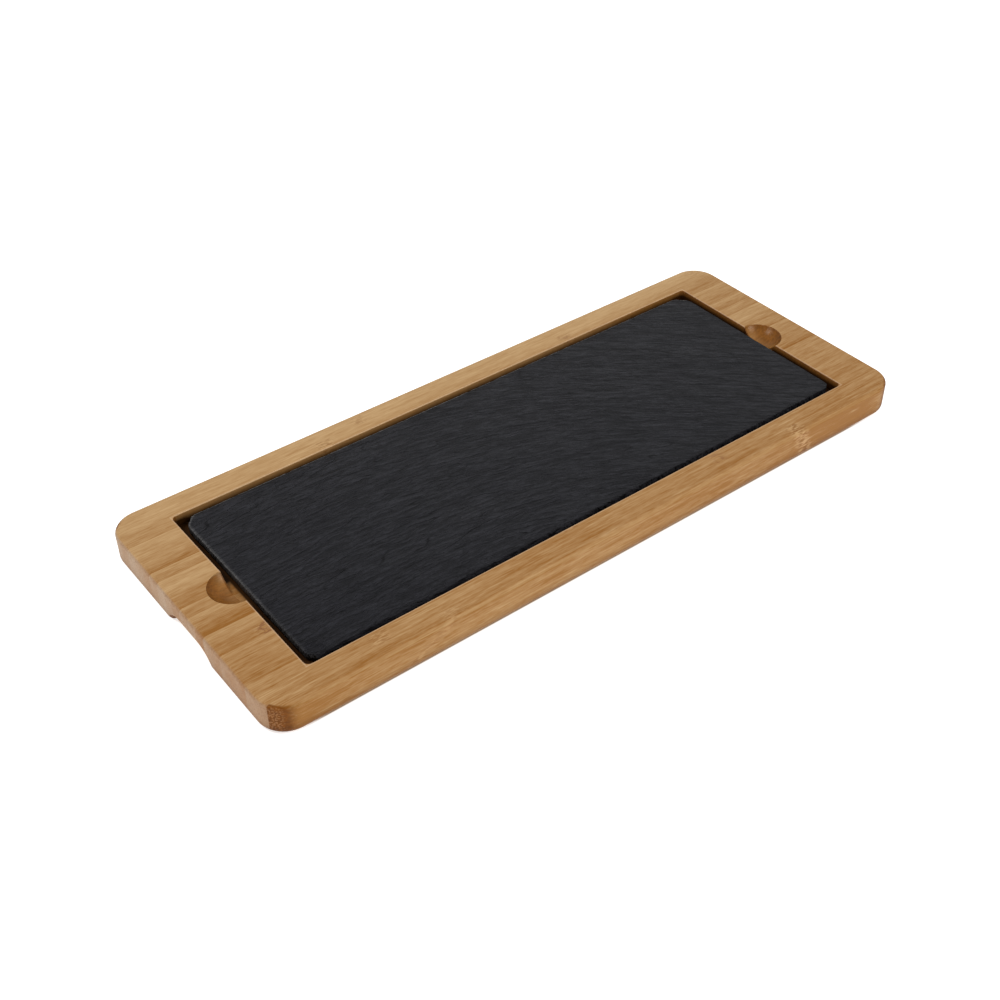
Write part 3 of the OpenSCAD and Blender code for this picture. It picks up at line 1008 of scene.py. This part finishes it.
def model_pad(name, shape):
    """Round foam pad with soft rims, pressed a little out of shape by the slate."""
    low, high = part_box(name)
    radius, thick = (high[0] - low[0]) / 2, high[2] - low[2]
    centre = Vector((low[0] + high[0], low[1] + high[1], low[2] + high[2])) / 2
    radius -= 0.1 * MM
    bm = bmesh.new()
    bmesh.ops.create_cone(
        bm, cap_ends=True, segments=shape.segments, radius1=radius, radius2=radius,
        depth=thick, matrix=Matrix.Translation(centre))
    rims = [edge for edge in bm.edges
            if abs(edge.verts[0].co.z - edge.verts[1].co.z) < thick / 2]
    bmesh.ops.bevel(bm, geom=rims, offset=shape.edge, offset_type="OFFSET", segments=3,
                    profile=0.5, affect="EDGES", material=-1)
    upright = [edge for edge in bm.edges
               if abs(edge.verts[0].co.z - edge.verts[1].co.z) > thick / 3]
    bmesh.ops.subdivide_edges(bm, edges=upright, cuts=1)
    for vert in bm.verts:
        if abs(vert.co.z - centre.z) < thick / 10:
            outward = Vector((vert.co.x, vert.co.y, centre.z)) - centre
            vert.co += shape.bulge * outward.normalized()
    mesh = bpy.data.meshes.new(name + "_foam")
    bm.to_mesh(mesh)
    bm.free()
    mesh.shade_smooth()
    return mesh


class BOARD_OT_model_pads(bpy.types.Operator):
    """Models the foam pads that are stuck under the slate"""
    bl_idname = "board.model_pads"
    bl_label = "Model Pads"

    def execute(self, context):
        shape = context.scene.board_pads
        foam = foam_finish(shape)
        for name in PADS:
            pad = bpy.data.objects.new(name + "_foam", model_pad(name, shape))
            context.scene.collection.objects.link(pad)
            dress(pad, foam)
            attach(pad, "slate")
            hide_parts(name)
        return {"FINISHED"}


# Stage


def contact_shade(tree):
    """Share from 0 to 1 of the narrow shade on the floor under the board's rounded front
    edge, which the floor's own glow would wash out. It fades out further in and at both ends."""
    point = add_node(tree, "ShaderNodeTexCoord").outputs["Object"]
    spot = add_node(tree, "ShaderNodeSeparateXYZ", {"Vector": point})
    x, y = spot.outputs["X"], spot.outputs["Y"]
    return product(
        tree, ease(tree, y, -BOARD_Y + 1 * MM, -BOARD_Y + 1.8 * MM),
        ease(tree, y, -BOARD_Y + 20 * MM, -BOARD_Y + 10 * MM),
        ease(tree, x, -BOARD_X + 10 * MM, -BOARD_X + 30 * MM),
        ease(tree, x, BOARD_X - 10 * MM, BOARD_X - 40 * MM))


def lay_floor(scene, setup):
    """Plain pale floor, which gives off a little light of its own."""
    bm = bmesh.new()
    bmesh.ops.create_grid(
        bm, x_segments=1, y_segments=1, size=setup.floor_size / 2,
        matrix=Matrix.Translation((0, 0, -setup.clearance)))
    mesh = bpy.data.meshes.new("floor")
    bm.to_mesh(mesh)
    bm.free()
    floor = bpy.data.objects.new("floor", mesh)
    scene.collection.objects.link(floor)

    material, tree, shader = new_finish("pale_floor")
    shade = contact_shade(tree)
    glow = calc(tree, "MULTIPLY", calc(tree, "SUBTRACT", 1.0, shade), setup.floor_glow)
    feed(tree, shader.inputs["Base Color"],
         blend(tree, shade, setup.floor_color, setup.shade_color))
    feed(tree, shader.inputs["Emission Strength"], glow)
    shader.inputs["Emission Color"].default_value = (1, 1, 1, 1)
    shader.inputs["Roughness"].default_value = 0.9
    shader.inputs["Specular IOR Level"].default_value = 0.0
    dress(floor, material)


def light_sky(scene, strength):
    """Even white light from all around."""
    world = bpy.data.worlds.new("studio")
    world.use_nodes = True
    sky = world.node_tree.nodes["Background"]
    sky.inputs["Color"].default_value = (1, 1, 1, 1)
    sky.inputs["Strength"].default_value = strength
    scene.world = world


def add_soft_light(scene, name, place, size, power):
    """Square soft light at place that shines at the middle of the board."""
    data = bpy.data.lights.new(name, "AREA")
    data.shape, data.size, data.energy = "SQUARE", size, power
    light = bpy.data.objects.new(name, data)
    light.location = place
    light.rotation_euler = (-Vector(place)).to_track_quat("-Z", "Y").to_euler()
    scene.collection.objects.link(light)


def place_camera(scene, setup):
    """Camera that looks at the board from its front left corner, from above."""
    camera = bpy.data.objects.new("camera", bpy.data.cameras.new("camera"))
    camera.data.lens = setup.lens
    camera.data.sensor_width = 36
    camera.data.clip_start = 0.01
    turn = Euler((math.pi / 2 - setup.tilt, 0, setup.heading)).to_matrix()
    turn = turn @ Matrix.Rotation(setup.roll, 3, "Z")
    camera.location = setup.eye
    camera.rotation_euler = turn.to_euler()
    scene.collection.objects.link(camera)
    scene.camera = camera


class BOARD_OT_set_stage(bpy.types.Operator):
    """Sets up the floor, the lights and the camera"""
    bl_idname = "board.set_stage"
    bl_label = "Set Stage"

    def execute(self, context):
        scene, setup = context.scene, context.scene.board_stage
        lay_floor(scene, setup)
        light_sky(scene, setup.sky)
        add_soft_light(scene, "back_light", (-0.89, 0.51, 1.42), 0.5, setup.back)
        add_soft_light(scene, "front_light", (0.41, -1.12, 1.15), 0.6, setup.front)
        place_camera(scene, setup)
        scene.view_settings.view_transform = "Standard"
        return {"FINISHED"}


# Sidebar


class BOARD_PT_panel(bpy.types.Panel):
    """Lists the steps that dress the board, with their sizes and colours."""
    bl_idname = "BOARD_PT_panel"
    bl_label = "Serving Board"
    bl_space_type = "VIEW_3D"
    bl_region_type = "UI"
    bl_category = "Serving Board"

    def draw(self, context):
        scene = context.scene
        for step, group in ((BOARD_OT_finish_bamboo, scene.board_bamboo),
                            (BOARD_OT_model_slate, scene.board_slate),
                            (BOARD_OT_model_pads, scene.board_pads),
                            (BOARD_OT_set_stage, scene.board_stage)):
            box = self.layout.box()
            for name in group.__annotations__:
                box.prop(group, name)
            box.operator(step.bl_idname)


CLASSES = (BambooFinish, SlateShape, PadShape, StageSetup, BOARD_OT_finish_bamboo,
           BOARD_OT_model_slate, BOARD_OT_model_pads, BOARD_OT_set_stage, BOARD_PT_panel)


def register():
    for item in CLASSES:
        bpy.utils.register_class(item)
    bpy.types.Scene.board_bamboo = PointerProperty(type=BambooFinish)
    bpy.types.Scene.board_slate = PointerProperty(type=SlateShape)
    bpy.types.Scene.board_pads = PointerProperty(type=PadShape)
    bpy.types.Scene.board_stage = PointerProperty(type=StageSetup)


def unregister():
    for name in ("board_bamboo", "board_slate", "board_pads", "board_stage"):
        delattr(bpy.types.Scene, name)
    for item in reversed(CLASSES):
        bpy.utils.unregister_class(item)


def main():
    """Dresses the whole board."""
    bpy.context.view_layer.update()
    register()
    bpy.ops.board.finish_bamboo()
    bpy.ops.board.model_slate()
    bpy.ops.board.model_pads()
    bpy.ops.board.set_stage()


if __name__ == "__main__":
    main()
